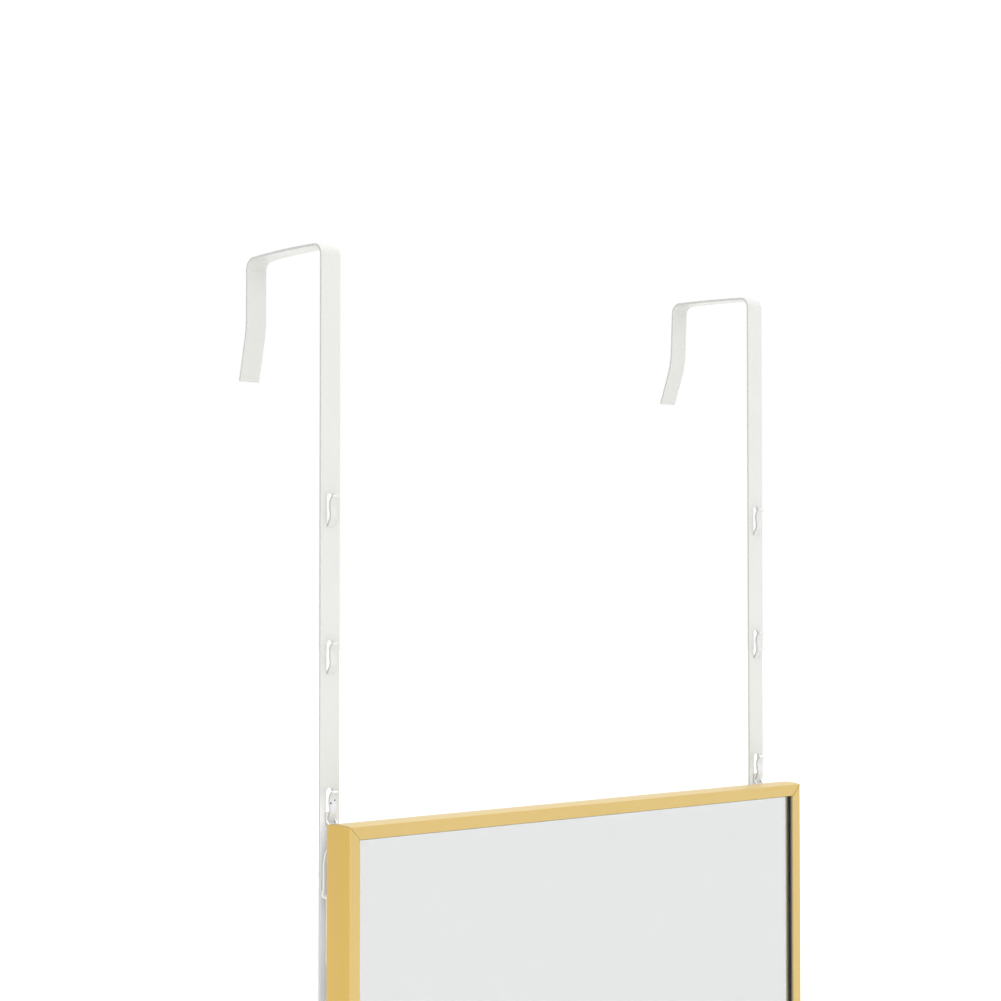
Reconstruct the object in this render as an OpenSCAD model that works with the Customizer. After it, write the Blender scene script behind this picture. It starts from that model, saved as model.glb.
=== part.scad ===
// Over the door mirror: a framed mirror that hangs by two steel straps
// hooked over the top of a door.
// Origin: level with the underside of the hooks at their front bends, midway
// between the straps, at the door's front face. +X right seen from the room,
// +Y through the door, +Z up.

/* [Mirror frame] */
// Outside width of the frame
frame_w = 306.3; // [260:0.1:420]
// Outside height of the frame
frame_h = 1220; // [600:5:1500]
// Depth of the frame rails, front to back
frame_d = 15.8; // [15.8:0.2:22]
// Width of the face seen from the front
face_w = 5.8; // [5:0.1:9]
// How far the outer faces of the rails bulge
crown = 0.65; // [0.2:0.05:0.8]
// Thickness of the front lip, seen as the inner side of the frame
lip_t = 1.2; // [1.2:0.1:2.4]
// Half of the gap left along each mitre
mitre_gap = 0.05; // [0.05:0.01:0.3]

/* [Door hooks] */
// Clear gap between the legs, for the door and its seal
door_gap = 51; // [36:0.5:60]
// Width of the strap steel
strap_w = 11; // [10:0.5:14]
// Thickness of the strap steel
strap_t = 1.2; // [1:0.1:1.6]
// Inside radius of the bends over the door
bend_r = 4.2; // [2:0.1:6]
// Height of the underside of the hooks above the top of the frame
rise = 251.35; // [230:0.05:330]
// Straight part of the left back leg below the bend
leg_left = 22.5; // [15:0.1:40]
// Straight part of the right back leg below the bend
leg_right = 21.3; // [15:0.1:40]
// Kick-out angle of the left back leg
kick_left = 12; // [4:1:25]
// Kick-out angle of the right back leg
kick_right = 17.5; // [4:0.5:25]
// How far the straps run on below the top of the frame
strap_tail = 90; // [70:1:160]

/* [Tongues and hangers] */
// Height step from one tongue to the next
tongue_pitch = 64.3; // [50:0.1:80]
// Number of tongues on each strap
tongue_n = 3; // [1:1:3]
// Width of a tongue
tongue_w = 3.6; // [3:0.1:3.8]
// Top of the window each tongue is bent out of, above the tongue's root
window_h = 14; // [13.6:0.1:16]

/* [Glass and backing] */
// Thickness of the mirror glass
glass_t = 2; // [2:0.5:3]
// Thickness of the backing board
board_t = 2; // [1.5:0.1:2]

/* [Hidden] */
$fn = 48;

// standoff between the back of the frame and the front of the straps
standoff = 6.8;
frame_back = -strap_t - standoff;          // y of the back of the frame
frame_front = frame_back - frame_d;        // y of the front of the frame
frame_top = -rise;                         // z of the top of the frame
frame_bot = frame_top - frame_h;           // z of the bottom of the frame
strap_x = frame_w / 2 - crown - 7.7;       // x of a strap's centre line
edge_top = frame_top - crown;              // z of the top rail's front and back edges
wall_t = 1.5;                              // outer wall of a rail
wall_in = 14.1 + crown;                    // inside face of the channel's inner wall
ch_back = frame_d - 1;                     // front face of the rear lips
ch_floor = frame_d - 4;                    // rear face of the channel floor
slot_c = 7.7 + crown;                      // centre of the rear slot
slot_h = 2.6;                              // half width of the rear slot
edge_gap = 0.5;                            // play round the glass
tape_t = 0.5;
tape_out = 0.3;                            // how far the tape shows past the lip
silver_t = 0.2;
sheet_t = 0.8;
glass_y = frame_front + lip_t + tape_t;
silver_y = glass_y + glass_t;
sheet_y = silver_y + silver_t;
board_y = sheet_y + sheet_t;
clip_y = board_y + board_t;                // front of the springs' room
floor_y = frame_front + ch_floor - 1;      // front face of the channel floor
root_z = edge_top + 1;                     // root of the lowest tongue
arch_left = [0.01, 5];                     // slope of a bridge at its front and rear end, in degrees
arch_right = [2.1, 0.4];
lean_right = 2.5;                          // outward lean of the right back leg
hanger_t = 0.9;
hanger_y = -strap_t - 0.05;                // rear face of the hanger's upper plate
bar_z = root_z + 2.45;                     // underside of the hanger's top bar
bar_h = 1.3;                               // height of the top bar
neck_w = tongue_w + 2.2;                   // width of the slotted neck
neck_y = -strap_t - 3.2;                   // middle of the neck and body, clear in front of the tongue
ledge_z = edge_top - 31.9;                 // underside of the hanger's ledge
screw_z = [edge_top - 40.5, edge_top - 54];
screw_r = 1.95;
key_y = frame_front + ch_back - 2.4;        // keys and nut plates bear on the rear lips

white_coat = [0.93, 0.93, 0.92];
gold = [0.88, 0.76, 0.5];
steel = [0.72, 0.73, 0.75];
dark_steel = [0.35, 0.36, 0.38];

// Points along a flat path that starts at p with heading h. Each step is
// [straight length, turn in degrees, centre-line radius]; turns are cut into
// chords of about 6 degrees.
function ahead(p, h, d) = [p[0] + d * cos(h), p[1] + d * sin(h)];
function turn_pts(p, h, a, r) = let(n = max(1, ceil(abs(a) / 6)), s = sign(a),
    c = [p[0] - s * r * sin(h), p[1] + s * r * cos(h)])
    [for (i = [1:n]) let(g = h + a * i / n) [c[0] + s * r * sin(g), c[1] - s * r * cos(g), g]];
function walk(steps, p, h, i = 0) = i >= len(steps) ? [] :
    let(q = ahead(p, h, steps[i][0]), a = steps[i][1],
        arc = abs(a) > 0 ? turn_pts(q, h, a, steps[i][2]) : [],
        last = len(arc) > 0 ? arc[len(arc) - 1] : [q[0], q[1], h])
    concat(steps[i][0] > 0 ? [[q[0], q[1], h]] : [], arc, walk(steps, [last[0], last[1]], last[2], i + 1));
// Outline of a strip of thickness t along points of [x, y, heading]
function strip(pts, t) = concat(
    [for (p = pts) [p[0] - t / 2 * sin(p[2]), p[1] + t / 2 * cos(p[2])]],
    [for (i = [len(pts) - 1:-1:0]) let(p = pts[i]) [p[0] + t / 2 * sin(p[2]), p[1] - t / 2 * cos(p[2])]]);

// Extrudes a (y, z) outline along x, centred
module across(w) { rotate([90, 0, 90]) linear_extrude(w, center = true) children(); }
// Extrudes an (x, z) outline along y, from y = y0 to y0 + t
module through(y0, t) { translate([0, y0 + t, 0]) rotate([90, 0, 0]) linear_extrude(t) children(); }
// Rectangle with rounded corners, centred on x, from z0 up to z1
module round_rect(w, z0, z1, r) {
    translate([-w / 2 + r, z0]) square([w - 2 * r, z1 - z0]);
    translate([-w / 2, z0 + r]) square([w, z1 - z0 - 2 * r]);
    for (x = [-w / 2 + r, w / 2 - r], z = [z0 + r, z1 - r]) translate([x, z]) circle(r);
}
module bore_y(x, y, z, r, l) { translate([x, y, z]) rotate([-90, 0, 0]) cylinder(r = r, h = l); }

// --- straps ---------------------------------------------------------------

// Side outline of a strap, walked from the tail up the front leg, over the
// door along the slightly arched bridge, and down the back leg to its
// kicked-out end. The bridge rises by arch[0] degrees where it leaves the
// front bend and falls by arch[1] degrees where it meets the rear bend.
module strap_side(leg, kick, arch, lean) {
    rc = bend_r + strap_t / 2;
    arch_r = (door_gap + strap_t - 2 * rc) / (sin(arch[0]) + sin(arch[1])) + rc;
    pts = walk(concat([[rise + strap_tail - bend_r, arch[0] - 90, rc]],
                      [for (i = [1:8]) [0, -(arch[0] + arch[1]) / 8, arch_r]],
                      [[0, arch[1] + lean - 90, rc], [leg, kick, 40],
                       [28.4 - 40 * kick * 3.14159 / 180, 0, 1]]),
               [-strap_t / 2, -rise - strap_tail], 90);
    polygon(strip(concat([[-strap_t / 2, -rise - strap_tail, 90]], pts), strap_t));
}
// Centre line of a tongue, outward and upward from its root: it leaves the
// strap, bows back towards it and flares out at the tip
knots = [[-0.6, -1.9], [-0.52, -1.2], [-0.15, -0.55], [0.5, 0.4], [1.16, 1.55], [1.79, 2.8], [2.07, 3.9],
         [2.0, 5.1], [1.8, 6.3], [1.61, 7.6], [1.6, 8.9], [1.8, 10.0], [2.25, 11.0], [2.85, 11.8], [3.5, 12.5]];
function knot(i) = knots[min(max(i, 0), len(knots) - 1)];
function spline(a, b, c, d, t) = 0.5 * (2 * b + (c - a) * t + (2 * a - 5 * b + 4 * c - d) * t * t
    + (3 * b - a - 3 * c + d) * t * t * t);
function slope(a, b, c, d, t) = 0.5 * ((c - a) + 2 * (2 * a - 5 * b + 4 * c - d) * t
    + 3 * (3 * b - a - 3 * c + d) * t * t);
tongue_pts = [for (k = [0:3 * (len(knots) - 1)])
    let(i = min(floor(k / 3), len(knots) - 2), t = k / 3 - i,
        p = spline(knot(i - 1), knot(i), knot(i + 1), knot(i + 2), t),
        d = slope(knot(i - 1), knot(i), knot(i + 1), knot(i + 2), t))
    [-strap_t - p[0], p[1], atan2(d[1], -d[0])]];

// Window with a half-round top and small corners at the bottom
module window() {
    r = tongue_w / 2 + 0.2;
    translate([0, window_h - r]) circle(r);
    translate([-r, -0.5]) square([2 * r, window_h - r + 0.5]);
    translate([-r + 0.4, -0.9]) square([2 * r - 0.8, 1]);
    for (s = [-1, 1]) translate([s * (r - 0.4), -0.5]) circle(0.4);
}
module strap(leg, kick, arch, lean) {
    difference() {
        across(strap_w) strap_side(leg, kick, arch, lean);
        for (i = [0:tongue_n - 1]) translate([0, 0, root_z + i * tongue_pitch])
            through(-strap_t - 0.5, strap_t + 1) window();
        // rounded corners of the tail
        for (s = [-1, 1]) translate([s * (strap_w / 2 - 2), 0, -rise - strap_tail + 2])
            through(-strap_t - 0.5, strap_t + 1) difference() {
                translate([s > 0 ? 0 : -3, -3]) square(3);
                circle(2);
            }
    }
    for (i = [0:tongue_n - 1]) translate([0, 0, root_z + i * tongue_pitch]) intersection() {
        across(tongue_w) polygon(strip(tongue_pts, strap_t * 0.92));
        through(-strap_t - 6, strap_t + 7) tongue_front();
    }
}
// Front outline of a tongue, rounded at the tip
module tongue_front() {
    top = 12.95;
    r = tongue_w / 2 - 0.7;
    translate([-tongue_w / 2, -4]) square([tongue_w, top - r + 4]);
    translate([-tongue_w / 2 + r, top - r]) square([tongue_w - 2 * r, r]);
    for (s = [-1, 1]) translate([s * (tongue_w / 2 - r), top - r]) circle(r);
}
module hook_strap_left() color(white_coat) translate([-strap_x, 0, 0]) strap(leg_left, kick_left, arch_left, 0);
module hook_strap_right() color(white_coat) translate([strap_x, 0, 0]) strap(leg_right, kick_right, arch_right, lean_right);

// --- hangers --------------------------------------------------------------

// Side outline: up the frame's back, over the ledge, up the neck in front of
// the tongue, and back beside it to the bar that hangs behind it
module hanger_side() {
    r = 0.8 + hanger_t / 2;
    flange_y = frame_back + hanger_t / 2;
    back = hanger_y - hanger_t / 2 - neck_y;     // set-back of the bar behind the neck
    bend = r * sin(45);
    start = [flange_y, ledge_z - 30.2];
    pts = walk([[30.2 + hanger_t / 2 - r, -90, r],
                [neck_y - flange_y - 2 * r, 90, r],
                [root_z + 0.3 - back - (2 * bend - 2 * (r - bend)) - ledge_z - hanger_t / 2 - r, -45, r],
                [(back - 2 * (r - bend)) / sin(45), 45, r],
                [bar_z + bar_h - root_z - 0.3, 0, 1]], start, 90);
    polygon(strip(concat([[start[0], start[1], 90]], pts), hanger_t));
}
// Front outline: narrow slotted neck, wider body, foot as wide as the strap
module hanger_front() {
    t = edge_top;
    round_rect(neck_w, t - 14, bar_z + bar_h, 0.9);
    side = [[2.9, t - 9], [3.3, t - 10], [4.6, t - 11.7], [5.6, t - 14], [6.1, t - 16.5], [6.27, t - 18.5],
            [6.3, t - 27.2], [6.5, t - 28.4], [7.1, t - 29.8], [7.1, ledge_z - 25]];
    polygon(concat([for (i = [0:9]) [-side[i][0], side[i][1]]], [for (i = [9:-1:0]) side[i]]));
    round_rect(14.2, ledge_z - 30.2, ledge_z - 20, 2.4);
}
module hanger() {
    difference() {
        intersection() {
            across(15) hanger_side();
            through(frame_back - 1, standoff + 2) hanger_front();
        }
        through(-strap_t - 5, 5) round_rect(tongue_w + 0.4, root_z - 7.5, bar_z, 0.15);
        for (z = screw_z) bore_y(0, frame_back - 1, z, 2.15, hanger_t + 2);
    }
}
module hanger_left() color(white_coat) translate([-strap_x, 0, 0]) hanger();
module hanger_right() color(white_coat) translate([strap_x, 0, 0]) hanger();

// Pan head machine screw that pulls the hanger onto its nut plate
module pan_screw() {
    difference() {
        union() {
            cylinder(r = 3.6, h = 1.2);
            translate([0, 0, 1.2]) cylinder(r1 = 3.6, r2 = 2.2, h = 1.0, $fn = 48);
            translate([0, 0, -4.6]) cylinder(r = screw_r, h = 4.7);
        }
        for (a = [0, 90]) rotate(a) translate([-1.6, -0.35, 1.0]) cube([3.2, 0.7, 2]);
    }
}
module hanger_screws() color(steel)
    for (s = [-1, 1], z = screw_z) translate([s * strap_x, frame_back + hanger_t, z]) rotate([-90, 0, 0]) pan_screw();

module nut_plate() {
    z0 = screw_z[1] - 6.5;
    z1 = screw_z[0] + 6.5;
    difference() {
        translate([-6, key_y, z0]) cube([12, 2.4, z1 - z0]);
        for (z = screw_z) bore_y(0, frame_front + ch_floor - 1, z, screw_r + 0.05, 5);
    }
}
module nut_plate_left() color(steel) translate([-strap_x, 0, 0]) nut_plate();
module nut_plate_right() color(steel) translate([strap_x, 0, 0]) nut_plate();

// --- frame ----------------------------------------------------------------

// Cross-section of a rail: a runs in from the outer face, b runs back from
// the front. Front lip, glass rebate, and a channel that opens to the rear.
function arris(c, r, a0, a1, n) = [for (i = [0:n]) let(a = a0 + (a1 - a0) * i / n) c + r * [cos(a), sin(a)]];
module rail_section() {
    d = frame_d;
    f = face_w + crown;
    polygon(concat(
        [for (i = [-7:7]) let(u = i / 7) [crown * u * u, d / 2 - u * (d / 2 - 0.7)]],
        arris([crown + 0.5, 0.5], 0.5, 205, 270, 4),
        arris([f - 0.3, 0.3], 0.3, -90, 0, 3),
        [[f, lip_t], [wall_t, lip_t], [wall_t, ch_floor - 1], [wall_in + 1, ch_floor - 1]],
        arris([wall_in + 0.7, d - 0.3], 0.3, 0, 90, 2),
        [[slot_c + slot_h, d], [slot_c + slot_h, ch_back], [wall_in, ch_back], [wall_in, ch_floor],
         [wall_t, ch_floor], [wall_t, ch_back], [slot_c - slot_h, ch_back], [slot_c - slot_h, d]],
        arris([crown + 0.5, d - 0.5], 0.5, 90, 155, 3)));
}
// A rail of outside length l, lying along x, with its outer face at z = 0,
// its front at y = 0 and both ends cut to a mitre
module rail(l) {
    h = l / 2 - mitre_gap;
    intersection() {
        translate([-l / 2, 0, 0]) rotate([90, 0, 90]) mirror([0, 1, 0])
            linear_extrude(l) rotate(90) mirror([0, 1, 0]) rail_section();
        through(-1, frame_d + 2) polygon([[-h - 1, 1], [h + 1, 1], [h - 16, -16], [-h + 16, -16]]);
    }
}
module rail_top() color(gold) translate([0, frame_front, frame_top]) rail(frame_w);
module rail_bottom() color(gold) translate([0, frame_front, frame_bot]) mirror([0, 0, 1]) rail(frame_w);
module rail_left() color(gold) translate([-frame_w / 2, frame_front, (frame_top + frame_bot) / 2])
    rotate([0, -90, 0]) rail(frame_h);
module rail_right() color(gold) translate([frame_w / 2, frame_front, (frame_top + frame_bot) / 2])
    rotate([0, 90, 0]) rail(frame_h);

// --- corner joints --------------------------------------------------------

set_at = [13, 24];                         // screws, measured from the outer corner
// L-shaped key for the top left corner, its outer corner at x = 0, z = 0
module corner_key() {
    difference() {
        union() {
            translate([1.7, key_y, -30]) cube([12.7, 2.4, 28.3]);
            translate([1.7, key_y, -14.4]) cube([28.3, 2.4, 12.7]);
        }
        for (d = set_at) {
            bore_y(slot_c, key_y - 1, -d - 2, screw_r + 0.05, 5);
            bore_y(d + 2, key_y - 1, -slot_c, screw_r + 0.05, 5);
        }
    }
}
module at_corner(sx, sz) {
    translate([sx * frame_w / 2, 0, sz > 0 ? frame_top : frame_bot])
        mirror([sx > 0 ? 1 : 0, 0, 0]) mirror([0, 0, sz > 0 ? 0 : 1]) children();
}
module corner_key_top_left() color(dark_steel) at_corner(-1, 1) corner_key();
module corner_key_top_right() color(dark_steel) at_corner(1, 1) corner_key();
module corner_key_bottom_left() color(dark_steel) at_corner(-1, -1) corner_key();
module corner_key_bottom_right() color(dark_steel) at_corner(1, -1) corner_key();

module set_screw() {
    difference() {
        cylinder(r = screw_r, h = 2.7);
        translate([0, 0, 1.2]) cylinder(r = 1.1, h = 2, $fn = 6);
    }
}
module corner_set_screws() color(steel)
    for (sx = [-1, 1], sz = [-1, 1], d = set_at) {
        at_corner(sx, sz) translate([slot_c, frame_front + ch_floor + 0.02, -d - 2]) rotate([-90, 0, 0]) set_screw();
        at_corner(sx, sz) translate([d + 2, frame_front + ch_floor + 0.02, -slot_c]) rotate([-90, 0, 0]) set_screw();
    }

// --- glass and backing ----------------------------------------------------

pane_in = wall_t + edge_gap;               // pane edge, in from the outer face
module pane(y, t, inset) {
    translate([-frame_w / 2 + inset, y, frame_bot + inset]) cube([frame_w - 2 * inset, t, frame_h - 2 * inset]);
}
module glazing_tape() color([0.06, 0.06, 0.06]) {
    y = frame_front + lip_t;
    o = wall_t + 0.6;
    w = face_w + crown + tape_out - o;
    for (s = [-1, 1]) translate([s > 0 ? frame_w / 2 - o - w : -frame_w / 2 + o, y, frame_bot + o])
        cube([w, tape_t, frame_h - 2 * o]);
    for (z = [frame_bot + o, frame_top - o - w]) translate([-frame_w / 2 + o + w + 0.2, y, z])
        cube([frame_w - 2 * o - 2 * w - 0.4, tape_t, w]);
}
module mirror_glass() color([0.8, 0.86, 0.84, 0.4]) pane(glass_y, glass_t, pane_in);
module silver_coating() color([0.9, 0.91, 0.91]) pane(silver_y, silver_t, pane_in);
module cushion_sheet() color([0.95, 0.95, 0.93]) pane(sheet_y, sheet_t, pane_in + 0.3);
module backing_board() color([0.55, 0.4, 0.26]) pane(board_y, board_t, pane_in + 0.3);

// Bowed leaf springs pushed in between the board and the channel floor
module spring_clip() {
    l = 40;
    s = floor_y - clip_y - 0.44;
    r = (l * l / 4 + s * s) / (2 * s);
    h = asin(l / 2 / r);
    a = [for (i = [0:10]) let(g = -h + 2 * h * i / 10) [r * sin(g), r * cos(g) - r + s + 0.02, -g]];
    linear_extrude(14) polygon(strip(concat([for (p = a) [p[0], p[1] + 0.2, p[2]]]), 0.4));
}
module spring_clips() color(steel) {
    n = 4;
    for (s = [-1, 1], i = [0:n - 1]) {
        z = frame_bot + frame_h * (i + 0.5) / n;
        translate([s * (frame_w / 2 - 3), clip_y, z]) rotate([0, s > 0 ? -90 : 90, 0]) spring_clip();
    }
    for (s = [-1, 1]) translate([0, clip_y, s > 0 ? frame_top - 3 : frame_bot + 3])
        mirror([0, 0, s > 0 ? 1 : 0]) spring_clip();
}

// --- bumpers --------------------------------------------------------------

// Rubber bumper snapped into the rear slot, its face on the door
module bumper() {
    translate([0, frame_back, frame_bot + 34]) rotate([-90, 0, 0]) {
        cylinder(r = 6.5, h = -frame_back - 1);
        translate([0, 0, -frame_back - 1]) cylinder(r = 5.5, h = 1);
        translate([0, 0, -1.05]) cylinder(r = 2.5, h = 1.1);
        translate([0, 0, -2.05]) cylinder(r = 3.6, h = 1);
    }
}
module bumper_left() color([0.2, 0.2, 0.2]) translate([-strap_x, 0, 0]) bumper();
module bumper_right() color([0.2, 0.2, 0.2]) translate([strap_x, 0, 0]) bumper();

hook_strap_left();
hook_strap_right();
hanger_left();
hanger_right();
hanger_screws();
nut_plate_left();
nut_plate_right();
rail_top();
rail_bottom();
rail_left();
rail_right();
corner_key_top_left();
corner_key_top_right();
corner_key_bottom_left();
corner_key_bottom_right();
corner_set_screws();
glazing_tape();
mirror_glass();
silver_coating();
cushion_sheet();
backing_board();
spring_clips();
bumper_left();
bumper_right();
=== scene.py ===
import math
import bpy
import bmesh
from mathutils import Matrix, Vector


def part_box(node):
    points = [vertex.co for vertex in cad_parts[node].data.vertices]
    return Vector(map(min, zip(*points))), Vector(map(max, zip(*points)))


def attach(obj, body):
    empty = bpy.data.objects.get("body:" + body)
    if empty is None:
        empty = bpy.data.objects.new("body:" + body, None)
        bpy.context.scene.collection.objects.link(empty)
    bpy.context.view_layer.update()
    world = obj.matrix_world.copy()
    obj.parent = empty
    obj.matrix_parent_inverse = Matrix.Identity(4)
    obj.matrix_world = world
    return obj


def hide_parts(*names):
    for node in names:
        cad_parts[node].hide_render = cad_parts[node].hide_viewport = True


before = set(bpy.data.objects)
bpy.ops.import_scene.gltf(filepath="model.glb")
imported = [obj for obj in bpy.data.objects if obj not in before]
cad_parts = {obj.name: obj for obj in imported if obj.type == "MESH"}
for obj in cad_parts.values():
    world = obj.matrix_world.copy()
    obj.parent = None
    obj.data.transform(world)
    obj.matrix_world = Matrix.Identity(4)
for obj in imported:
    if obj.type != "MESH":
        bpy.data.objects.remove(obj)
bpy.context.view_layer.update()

MM = 0.001

# --------------------------------------------------------------------------
# camera, at the photograph's viewing angle
# --------------------------------------------------------------------------
yaw, pitch = 0.771, 0.03245
fwd = Vector((math.sin(yaw) * math.cos(pitch), math.cos(yaw) * math.cos(pitch), math.sin(pitch)))
cam_data = bpy.data.cameras.new("camera")
cam = bpy.data.objects.new("camera", cam_data)
bpy.context.scene.collection.objects.link(cam)
cam.location = (-0.80954, -0.79199, -0.14530)
cam.rotation_mode = "QUATERNION"
cam.rotation_quaternion = fwd.to_track_quat("-Z", "Y")
cam_data.sensor_width = 36.0
cam_data.lens = 84.79
cam_data.clip_start = 0.02
cam_data.clip_end = 120.0
cam_data.dof.use_dof = False
bpy.context.scene.camera = cam
bpy.context.scene.view_settings.view_transform = "Standard"
bpy.context.scene.view_settings.look = "None"


# --------------------------------------------------------------------------
# node helpers
# --------------------------------------------------------------------------
class Mat:
    def __init__(self, name):
        self.m = bpy.data.materials.new(name)
        self.m.use_nodes = True
        self.nt = self.m.node_tree
        self.nt.nodes.clear()
        self.out = self.n("ShaderNodeOutputMaterial")
        self.b = self.n("ShaderNodeBsdfPrincipled")
        self.link(self.b.outputs["BSDF"], self.out.inputs["Surface"])
        self.tc = self.n("ShaderNodeTexCoord")
        self.co = self.tc.outputs["Object"]

    def n(self, kind):
        return self.nt.nodes.new(kind)

    def link(self, a, b):
        self.nt.links.new(a, b)

    def set(self, **kw):
        for k, v in kw.items():
            self.b.inputs[k.replace("_", " ")].default_value = v
        return self

    def noise(self, scale, detail=2.0, rough=0.5, stretch=(1, 1, 1), distortion=0.0):
        mp = self.n("ShaderNodeMapping")
        mp.inputs["Scale"].default_value = stretch
        self.link(self.co, mp.inputs["Vector"])
        t = self.n("ShaderNodeTexNoise")
        t.inputs["Scale"].default_value = scale
        t.inputs["Detail"].default_value = detail
        t.inputs["Roughness"].default_value = rough
        t.inputs["Distortion"].default_value = distortion
        self.link(mp.outputs["Vector"], t.inputs["Vector"])
        return t.outputs["Fac"]

    def voronoi(self, scale, stretch=(1, 1, 1), feature="F1"):
        mp = self.n("ShaderNodeMapping")
        mp.inputs["Scale"].default_value = stretch
        self.link(self.co, mp.inputs["Vector"])
        t = self.n("ShaderNodeTexVoronoi")
        t.feature = feature
        t.inputs["Scale"].default_value = scale
        self.link(mp.outputs["Vector"], t.inputs["Vector"])
        return t.outputs["Distance"]

    def ramp(self, fac, lo, hi, a, b):
        """fac from lo..hi to a..b"""
        r = self.n("ShaderNodeMapRange")
        r.inputs["From Min"].default_value = lo
        r.inputs["From Max"].default_value = hi
        r.inputs["To Min"].default_value = a
        r.inputs["To Max"].default_value = b
        r.clamp = True
        self.link(fac, r.inputs["Value"])
        return r.outputs["Result"]

    def math(self, op, a, b=None):
        m = self.n("ShaderNodeMath")
        m.operation = op
        for i, v in enumerate((a, b)):
            if v is None:
                continue
            if isinstance(v, (int, float)):
                m.inputs[i].default_value = v
            else:
                self.link(v, m.inputs[i])
        return m.outputs[0]

    def mix(self, fac, a, b, mode="MIX"):
        m = self.n("ShaderNodeMix")
        m.data_type = "RGBA"
        m.blend_type = mode
        self.link(fac, m.inputs[0])
        for i, v in ((6, a), (7, b)):
            if isinstance(v, (tuple, list)):
                m.inputs[i].default_value = (*v[:3], 1.0)
            else:
                self.link(v, m.inputs[i])
        return m.outputs[2]

    def colour(self, sock):
        self.link(sock, self.b.inputs["Base Color"])
        return self

    def rough(self, sock):
        self.link(sock, self.b.inputs["Roughness"])
        return self

    def bump(self, *layers):
        """layers of (height socket, distance in metres, strength)"""
        prev = None
        for h, dist, strength in layers:
            bn = self.n("ShaderNodeBump")
            bn.inputs["Distance"].default_value = dist
            bn.inputs["Strength"].default_value = strength
            self.link(h, bn.inputs["Height"])
            if prev is not None:
                self.link(prev, bn.inputs["Normal"])
            prev = bn.outputs["Normal"]
        self.link(prev, self.b.inputs["Normal"])
        return self

    def xyz(self):
        s = self.n("ShaderNodeSeparateXYZ")
        self.link(self.co, s.inputs["Vector"])
        return s.outputs[0], s.outputs[1], s.outputs[2]


def shade(c, f):
    return tuple(max(0.0, min(1.0, v * f)) for v in c[:3])


# --------------------------------------------------------------------------
# materials
# --------------------------------------------------------------------------
def white_coat():
    m = Mat("white_coat_material")
    base = (0.609, 0.614, 0.591)
    big = m.noise(34, 3, 0.55)
    fine = m.noise(2600, 2, 0.5)
    c = m.mix(m.ramp(big, 0.3, 0.7, 0, 1), shade(base, 0.985), shade(base, 1.012))
    c = m.mix(m.ramp(fine, 0.62, 0.8, 0, 0.35), c, shade(base, 0.93))
    # the sheared side edges of the steel, turned left or right, are painted darker as painted shade
    geo = m.n("ShaderNodeNewGeometry")
    ns = m.n("ShaderNodeSeparateXYZ")
    m.link(geo.outputs["True Normal"], ns.inputs["Vector"])
    side_facing = m.ramp(m.math("ABSOLUTE", ns.outputs[0]), 0.45, 0.8, 0.0, 1.0)
    edge = m.mix(m.ramp(m.noise(1300, 3, 0.6, (1, 1, 0.3)), 0.35, 0.65, 0, 1), shade(base, 0.72), shade(base, 0.82))
    # front faces of the coat below the frame's top are painted much lighter, painted light that cancels the shade
    # the frame casts there
    x, y, z = m.xyz()
    inward = m.ramp(ns.outputs[1], -0.5, 0.3, 1.0, 0.0)
    behind_frame = m.ramp(z, -0.251, -0.238, 1.0, 0.0)
    painted_light_coat = m.mix(m.ramp(big, 0.3, 0.7, 0, 1), (0.83, 0.835, 0.84), (0.86, 0.865, 0.87))
    c = m.mix(m.math("MULTIPLY", behind_frame, inward), c, painted_light_coat)
    forward = m.ramp(y, -0.0016, -0.0013, 1.0, 0.0)
    # the front of the lowest tongues is painted a lighter, cooler tone, painted light that cancels the warm shade
    # bounced from the gold frame there
    band = m.math("MULTIPLY", m.ramp(z, -0.2475, -0.2465, 0.0, 1.0), m.ramp(z, -0.237, -0.235, 1.0, 0.0))
    painted_cool_light = m.mix(m.ramp(fine, 0.4, 0.7, 0, 1), (0.685, 0.71, 0.745), (0.67, 0.695, 0.73))
    c = m.mix(m.math("MULTIPLY", m.math("MULTIPLY", band, forward), inward), c, painted_cool_light)
    # the side edges of the hangers below the frame's top are painted a lighter cream, painted light on these shaded
    # faces
    edge = m.mix(m.math("MULTIPLY", m.ramp(z, -0.256, -0.25, 1.0, 0.0), forward), edge, (0.66, 0.645, 0.55))
    c = m.mix(side_facing, c, edge)
    # two near-black spots on the lowest left tongue are painted shadow, where the gaps beside the tongue under the
    # hanger lie in deep shade
    for p, r in (((-0.1460, -0.0034, -0.2435), 0.00050), ((-0.1438, -0.0034, -0.2424), 0.00042)):
        d = m.n("ShaderNodeVectorMath")
        d.operation = "DISTANCE"
        m.link(m.co, d.inputs[0])
        d.inputs[1].default_value = p
        ragged = m.math("ADD", d.outputs["Value"], m.math("MULTIPLY", m.noise(2100, 3, 0.7, (1, 1, 0.7)), 0.0005))
        c = m.mix(m.ramp(ragged, r + 0.00015, r + 0.00025, 1.0, 0.0), c, (0.02, 0.02, 0.021))
    m.colour(c)
    m.rough(m.ramp(m.noise(420, 3), 0.3, 0.7, 0.36, 0.5))
    m.bump((m.noise(950, 2, 0.55), 0.00006, 0.35), (fine, 0.00002, 0.3))
    m.set(IOR=1.5)
    return m.m


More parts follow.
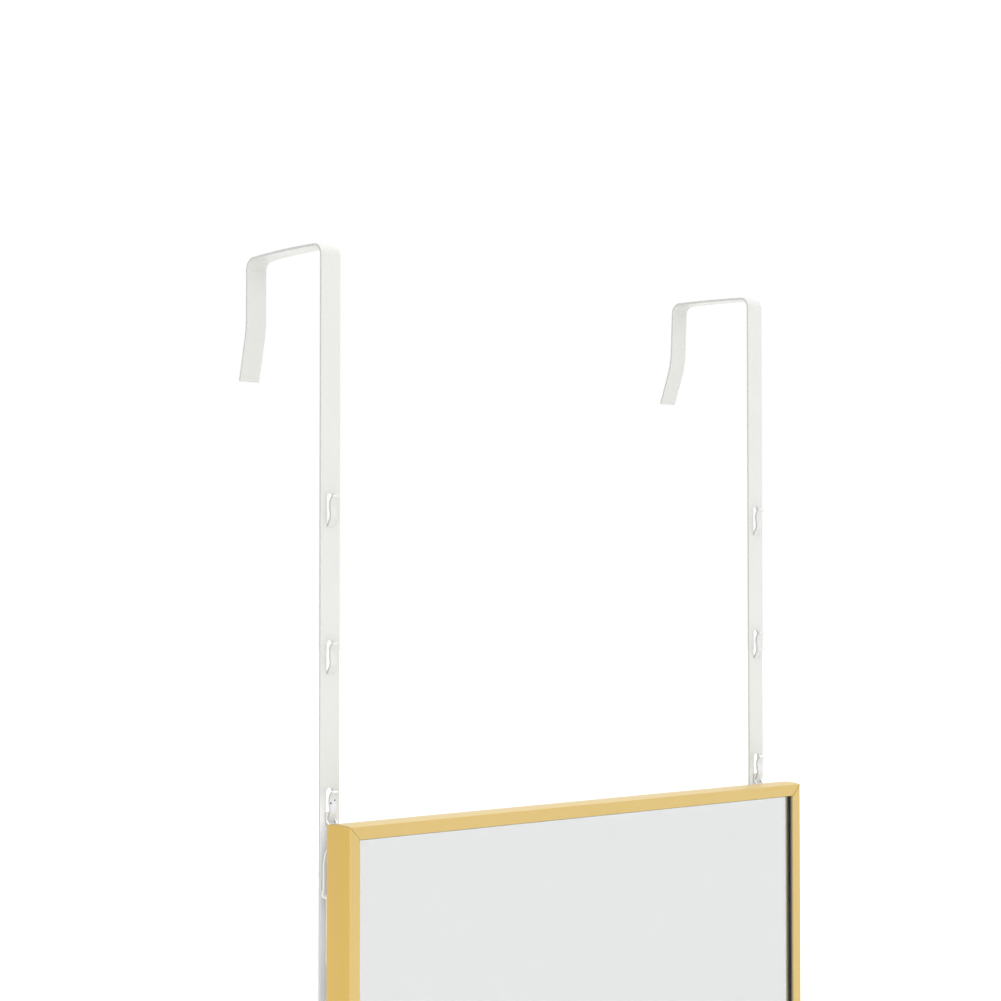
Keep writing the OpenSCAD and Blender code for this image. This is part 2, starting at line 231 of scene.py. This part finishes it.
def gold_rail(name, along):
    """Satin champagne-gold coating. along is the axis the extrusion runs in."""
    m = Mat(name)
    base = (0.59, 0.429, 0.158)
    st = [1.0, 1.0, 1.0]
    st[along] = 0.02
    lines = m.noise(5200, 2, 0.5, st)
    flake = m.voronoi(5200)
    big = m.noise(9, 3, 0.5)
    c = m.mix(m.ramp(big, 0.3, 0.7, 0, 1), shade(base, 0.985), shade(base, 1.015))
    c = m.mix(m.ramp(lines, 0.45, 0.75, 0, 0.3), c, shade(base, 0.965))
    geo = m.n("ShaderNodeNewGeometry")
    ns = m.n("ShaderNodeSeparateXYZ")
    m.link(geo.outputs["True Normal"], ns.inputs["Vector"])
    # the rolled outer sides are painted darker and richer in tone than the front, as painted shade
    x, y, z = m.xyz()
    outward = m.math("MULTIPLY", ns.outputs[0], m.math("DIVIDE", x, 0.153))
    painted_flank_shade = m.ramp(outward, 0.7, 0.95, 0.0, 1.0)
    c = m.mix(painted_flank_shade, c, m.mix(m.ramp(lines, 0.4, 0.7, 0, 1), (0.577, 0.389, 0.098), (0.565, 0.382, 0.095)))
    # the face that looks up is painted paler, a painted sheen from the light above
    painted_top_light = m.ramp(ns.outputs[2], 0.7, 0.95, 0.0, 1.0)
    c = m.mix(painted_top_light, c, m.mix(m.ramp(lines, 0.4, 0.7, 0, 1), (0.612, 0.472, 0.198), (0.60, 0.46, 0.19)))
    # the inner side of the lip is painted a lighter, greyer tone, painted light on this shaded face
    painted_lip_light = m.mix(m.ramp(lines, 0.4, 0.7, 0, 1), (0.55, 0.445, 0.24), (0.52, 0.42, 0.225))
    c = m.mix(m.ramp(outward, -0.955, -0.93, 1.0, 0.0), c, painted_lip_light)
    c = m.mix(m.ramp(flake, 0.0, 0.2, 0.3, 0), c, (0.84, 0.64, 0.31))
    # the joint of the sawn mitre shows as a fine dark line, with a painted highlight line beside it
    b = frame_box
    dx = m.math("SUBTRACT", b[1][0], m.math("ABSOLUTE", x))
    dz = m.math("SUBTRACT", (b[1][2] - b[0][2]) / 2,
                m.math("ABSOLUTE", m.math("SUBTRACT", z, (b[1][2] + b[0][2]) / 2)))
    d = m.math("ABSOLUTE", m.math("SUBTRACT", dx, dz))
    wob = m.math("MULTIPLY", m.noise(900, 2), 0.0003)
    near = m.math("SUBTRACT", d, wob)
    # deeper on the right, fainter on the left
    deep = m.ramp(x, -0.1, 0.1, 0.3, 1.0)
    # painted highlight: a lighter band beside the joint
    c = m.mix(m.math("MULTIPLY", m.ramp(near, 0.00030, 0.00062, 0.3, 0.0), deep), c, (0.80, 0.58, 0.22))
    c = m.mix(m.math("MULTIPLY", m.ramp(near, 0.00014, 0.00028, 0.85, 0.0), deep), c, (0.30, 0.18, 0.035))
    # the coating covers the faces that show; the back is plain mill finish
    back = m.ramp(ns.outputs[1], 0.75, 0.9, 0.0, 1.0)
    mill = m.mix(m.ramp(lines, 0.4, 0.7, 0, 1), (0.60, 0.60, 0.61), (0.69, 0.69, 0.695))
    c = m.mix(back, c, mill)
    m.colour(c)
    m.rough(m.ramp(lines, 0.3, 0.7, 0.33, 0.45))
    m.bump((lines, 0.00001, 0.2), (m.noise(620, 2), 0.00004, 0.1))
    m.set(Metallic=0.5, IOR=1.35, Coat_Weight=0.3, Coat_Roughness=0.25, Coat_IOR=1.5,
          Specular_Tint=(1.0, 0.88, 0.68, 1.0))
    return m.m


def clear_glass():
    m = Mat("clear_glass_material")
    c = m.mix(m.noise(3, 1), (0.962, 0.985, 0.972), (0.97, 0.99, 0.979))
    m.colour(c)
    m.set(Transmission_Weight=1.0, IOR=1.52, Roughness=0.0)
    return m.m


def silvering():
    m = Mat("silvering_material")
    c = m.mix(m.noise(2.2, 2), (0.605, 0.602, 0.608), (0.611, 0.608, 0.614))
    m.colour(c)
    m.rough(m.ramp(m.noise(7, 2), 0.3, 0.7, 0.0, 0.01))
    m.set(Metallic=1.0)
    return m.m


def plated(name, base, rmin, rmax, scale=1800, tint=None):
    m = Mat(name)
    n1 = m.noise(scale, 3, 0.6)
    n2 = m.noise(90, 3, 0.6)
    c = m.mix(m.ramp(n2, 0.3, 0.7, 0, 1), shade(base, 0.93), shade(base, 1.05))
    c = m.mix(m.ramp(n1, 0.5, 0.8, 0, 0.5), c, tint or shade(base, 0.8))
    m.colour(c)
    m.rough(m.ramp(n1, 0.3, 0.7, rmin, rmax))
    m.bump((n1, 0.00003, 0.3))
    m.set(Metallic=1.0)
    return m.m


def black_tape():
    m = Mat("black_tape_material")
    cell = m.voronoi(5200)
    c = m.mix(m.ramp(cell, 0.0, 0.5, 0, 1), (0.073, 0.078, 0.076), (0.098, 0.104, 0.101))
    geo = m.n("ShaderNodeNewGeometry")
    ns = m.n("ShaderNodeSeparateXYZ")
    m.link(geo.outputs["True Normal"], ns.inputs["Vector"])
    # the face against the glass and the cut edges are painted a lighter grey, painted light on these shaded faces
    c = m.mix(m.ramp(ns.outputs[1], 0.5, 0.8, 0.0, 1.0), c, m.mix(m.ramp(cell, 0.0, 0.5, 0, 1), (0.125, 0.14, 0.134), (0.15, 0.165, 0.158)))
    c = m.mix(m.ramp(m.math("ABSOLUTE", ns.outputs[0]), 0.5, 0.8, 0.0, 1.0), c, m.mix(m.ramp(cell, 0.0, 0.5, 0, 1), (0.085, 0.09, 0.082), (0.11, 0.116, 0.106)))
    m.colour(c)
    m.rough(m.ramp(m.noise(600, 2), 0.3, 0.7, 0.7, 0.9))
    m.bump((cell, 0.00008, 0.4))
    m.set(Specular_IOR_Level=0.3)
    return m.m


def foam_sheet():
    m = Mat("foam_sheet_material")
    cell = m.voronoi(1700)
    c = m.mix(m.ramp(cell, 0.0, 0.6, 0, 1), (0.74, 0.74, 0.7), (0.84, 0.84, 0.81))
    m.colour(c)
    m.rough(m.ramp(cell, 0.0, 0.6, 0.8, 0.6))
    m.bump((cell, 0.0002, 0.5))
    return m.m


def hardboard():
    m = Mat("hardboard_material")
    fib = m.noise(1500, 6, 0.7, (1, 1, 0.25), 1.2)
    fib2 = m.noise(1300, 6, 0.7, (0.22, 1, 1), 1.0)
    blot = m.noise(16, 4, 0.6)
    c = m.mix(m.ramp(blot, 0.3, 0.7, 0, 1), (0.205, 0.118, 0.06), (0.255, 0.15, 0.08))
    c = m.mix(m.ramp(fib, 0.52, 0.68, 0, 0.75), c, (0.36, 0.24, 0.14))
    c = m.mix(m.ramp(fib2, 0.55, 0.7, 0, 0.7), c, (0.13, 0.07, 0.034))
    m.colour(c)
    m.rough(m.ramp(fib, 0.3, 0.7, 0.5, 0.72))
    m.bump((fib, 0.00012, 0.5), (fib2, 0.00012, 0.4))
    return m.m


def grey_rubber():
    m = Mat("grey_rubber_material")
    n1 = m.noise(1500, 4, 0.6)
    c = m.mix(m.ramp(n1, 0.3, 0.7, 0, 1), (0.035, 0.035, 0.036), (0.062, 0.062, 0.062))
    m.colour(c)
    m.rough(m.ramp(m.noise(300, 3), 0.3, 0.7, 0.55, 0.75))
    m.bump((n1, 0.00006, 0.4))
    return m.m


rails_box = [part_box(n) for n in ("rail_top", "rail_bottom", "rail_left", "rail_right")]
frame_box = (Vector([min(b[0][i] for b in rails_box) for i in range(3)]),
             Vector([max(b[1][i] for b in rails_box) for i in range(3)]))

MATS = {
    "white_coat": white_coat(),
    "gold_across": gold_rail("gold_rail_across", 0),
    "gold_upright": gold_rail("gold_rail_upright", 2),
    "clear_glass": clear_glass(),
    "silvering": silvering(),
    "zinc_steel": plated("zinc_steel_material", (0.66, 0.68, 0.71), 0.22, 0.38, 1500, (0.74, 0.73, 0.66)),
    "dark_steel": plated("dark_steel_material", (0.12, 0.12, 0.125), 0.45, 0.65, 900),
    "spring_steel": plated("spring_steel_material", (0.3, 0.32, 0.38), 0.25, 0.4, 1200, (0.42, 0.36, 0.3)),
    "black_tape": black_tape(),
    "foam_sheet": foam_sheet(),
    "hardboard": hardboard(),
    "grey_rubber": grey_rubber(),
}


# --------------------------------------------------------------------------
# pieces: each visible hard part is rebuilt with its small edge roundings
# --------------------------------------------------------------------------
def sharp(bm, deg, test=None):
    lim = math.radians(deg)
    got = []
    for e in bm.edges:
        if len(e.link_faces) != 2:
            continue
        if e.calc_face_angle(0.0) < lim:
            continue
        if e.link_faces[0].normal.cross(e.link_faces[1].normal).length < 1e-6:
            continue
        if test and not test((e.verts[0].co + e.verts[1].co) / 2, e):
            continue
        got.append(e)
    return got


def piece(node, body, material, rounds=(), smooth=32.0, name=None):
    """Copies a CAD node's shape, rounds its edges as given in rounds, a list of
    (offset in mm, segments, least angle, test), and shades it smooth."""
    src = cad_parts[node]
    me = bpy.data.meshes.new((name or node + "_piece") + "_mesh")
    bm = bmesh.new()
    bm.from_mesh(src.data)
    bmesh.ops.remove_doubles(bm, verts=bm.verts[:], dist=2e-6)
    bmesh.ops.dissolve_limit(bm, angle_limit=math.radians(0.4), verts=bm.verts[:], edges=bm.edges[:])
    bm.normal_update()
    for off, segs, deg, test in rounds:
        edges = sharp(bm, deg, test)
        if edges:
            bmesh.ops.bevel(bm, geom=edges, offset=off * MM, offset_type="OFFSET", segments=segs,
                            profile=0.5, affect="EDGES", clamp_overlap=True)
            bm.normal_update()
    bmesh.ops.remove_doubles(bm, verts=bm.verts[:], dist=1e-6)
    bm.normal_update()
    lim = math.radians(smooth)
    for f in bm.faces:
        f.smooth = True
    for e in bm.edges:
        e.smooth = len(e.link_faces) == 2 and e.calc_face_angle(0.0) < lim
    bm.to_mesh(me)
    bm.free()
    ob = bpy.data.objects.new(name or node + "_piece", me)
    bpy.context.scene.collection.objects.link(ob)
    me.materials.append(material)
    wn = ob.modifiers.new("normals", "WEIGHTED_NORMAL")
    wn.mode = "FACE_AREA"
    wn.keep_sharp = True
    wn.weight = 50
    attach(ob, body)
    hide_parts(node)
    return ob


hooks, mirror = "door_hooks", "mirror"
strap_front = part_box("hook_strap_left")[0].y


def strap_edge(c, e):
    """The long edges and ends of a strap, clear of the tongues"""
    return c.y > -0.00125 and abs(abs(c.x) - 0.1448) > 0.0052 or c.z > -0.05 or c.z < -0.33


def window_edge(c, e):
    """Edges of the windows on the strap's front and back faces"""
    h = (c.z + 0.251) % 0.0643
    n = round((c.z + 0.251 - h) / 0.0643)
    inside = abs(abs(c.x) - 0.1448) < 0.0025
    return inside and 0 <= n <= 2 and 0.0002 < h < 0.0145 and c.y > -0.00125


def tongue_edge(c, e):
    inside = abs(abs(c.x) - 0.1448) < 0.0021
    return inside and c.y < -0.0019


for side in ("left", "right"):
    piece("hook_strap_" + side, hooks, MATS["white_coat"],
          [(0.28, 3, 50, strap_edge), (0.3, 3, 50, window_edge), (0.42, 4, 50, tongue_edge)])
    piece("hanger_" + side, mirror, MATS["white_coat"], [(0.15, 2, 50, None)])
    piece("nut_plate_" + side, mirror, MATS["zinc_steel"], [(0.2, 2, 50, None)])
    piece("bumper_" + side, mirror, MATS["grey_rubber"], [(0.3, 3, 50, None)])
piece("hanger_screws", mirror, MATS["zinc_steel"], [(0.12, 2, 30, None)])
for n, m in (("rail_top", "gold_across"), ("rail_bottom", "gold_across"),
             ("rail_left", "gold_upright"), ("rail_right", "gold_upright")):
    piece(n, mirror, MATS[m], [(0.06, 2, 40, None)])
for n in ("corner_key_top_left", "corner_key_top_right", "corner_key_bottom_left", "corner_key_bottom_right"):
    piece(n, mirror, MATS["dark_steel"], [(0.2, 2, 50, None)])
piece("corner_set_screws", mirror, MATS["zinc_steel"], [(0.12, 2, 50, None)])
piece("glazing_tape", mirror, MATS["black_tape"], [(0.08, 2, 50, None)])
piece("mirror_glass", mirror, MATS["clear_glass"], [(0.35, 2, 50, None)])
silver = piece("silver_coating", mirror, MATS["silvering"], [])
# the silver is bonded into the back of the glass, with no air between them
for v in silver.data.vertices:
    if v.co.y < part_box("silver_coating")[0].y + 0.05 * MM:
        v.co.y -= 0.03 * MM
piece("cushion_sheet", mirror, MATS["foam_sheet"], [(0.2, 2, 50, None)])
piece("backing_board", mirror, MATS["hardboard"], [(0.25, 2, 50, None)])
piece("spring_clips", mirror, MATS["spring_steel"], [(0.08, 2, 50, None)])

# --------------------------------------------------------------------------
# studio: pale floor, soft all-round light
# --------------------------------------------------------------------------
floor_me = bpy.data.meshes.new("studio_floor_mesh")
bm = bmesh.new()
bmesh.ops.create_circle(bm, cap_ends=True, radius=60.0, segments=96)
bm.to_mesh(floor_me)
bm.free()
floor = bpy.data.objects.new("studio_floor", floor_me)
floor.location = (0, 0, -2.03)
bpy.context.scene.collection.objects.link(floor)
fm = Mat("studio_floor_material")
fm.colour(fm.mix(fm.noise(1.5, 3), (0.927, 0.927, 0.925), (0.933, 0.933, 0.931)))
fm.set(Roughness=0.9, Specular_IOR_Level=0.1)
floor_me.materials.append(fm.m)

world = bpy.data.worlds.new("studio_world")
bpy.context.scene.world = world
world.use_nodes = True
nt = world.node_tree
nt.nodes.clear()
wout = nt.nodes.new("ShaderNodeOutputWorld")
bg = nt.nodes.new("ShaderNodeBackground")
tc = nt.nodes.new("ShaderNodeTexCoord")
sep = nt.nodes.new("ShaderNodeSeparateXYZ")
nt.links.new(tc.outputs["Generated"], sep.inputs["Vector"])


def wmath(op, a, b=None):
    n = nt.nodes.new("ShaderNodeMath")
    n.operation = op
    for i, v in enumerate((a, b)):
        if v is None:
            continue
        if isinstance(v, (int, float)):
            n.inputs[i].default_value = v
        else:
            nt.links.new(v, n.inputs[i])
    return n.outputs[0]


def wramp(v, lo, hi, a, b):
    r = nt.nodes.new("ShaderNodeMapRange")
    r.interpolation_type = "SMOOTHSTEP"
    for k, x in (("From Min", lo), ("From Max", hi), ("To Min", a), ("To Max", b)):
        r.inputs[k].default_value = x
    nt.links.new(v, r.inputs["Value"])
    return r.outputs["Result"]


# a darker corner of the room behind and to the left gives the sides their shape
corner = wmath("ADD", wmath("MULTIPLY", sep.outputs[0], -0.7071), wmath("MULTIPLY", sep.outputs[1], 0.7071))
side_light = wramp(corner, 0.3, 0.95, 1.0, 0.4)
# a broad soft window to the left, in front of the mirror
window = wmath("ADD", wmath("MULTIPLY", sep.outputs[0], -0.86), wmath("MULTIPLY", sep.outputs[1], -0.51))
window_light = wmath("MULTIPLY", wramp(window, 0.35, 0.95, 0.0, 1.0), 0.7)
# a little less light from the right, in front
shadow = wmath("ADD", wmath("MULTIPLY", sep.outputs[0], 0.7), wmath("MULTIPLY", sep.outputs[1], -0.7))
right_dim = wramp(shadow, 0.3, 0.9, 0.0, -0.05)
overhead = wmath("MULTIPLY", wramp(sep.outputs[2], 0.25, 1.0, 0.0, 1.0), 0.75)
nt.links.new(wmath("ADD", wmath("ADD", wmath("ADD", side_light, window_light), right_dim), overhead), bg.inputs["Strength"])
bg.inputs["Color"].default_value = (1.0, 1.0, 1.0, 1.0)
nt.links.new(bg.outputs["Background"], wout.inputs["Surface"])


def softbox(name, loc, target, size, power):
    d = bpy.data.lights.new(name, "AREA")
    d.shape = "RECTANGLE"
    d.size, d.size_y = size
    d.energy = power
    o = bpy.data.objects.new(name, d)
    o.location = loc
    o.rotation_mode = "QUATERNION"
    o.rotation_quaternion = (Vector(target) - Vector(loc)).to_track_quat("-Z", "Y")
    bpy.context.scene.collection.objects.link(o)
    return o


softbox("softbox_top", (0.4, -1.2, 2.4), (0, 0, -0.4), (2.4, 1.6), 2.0)
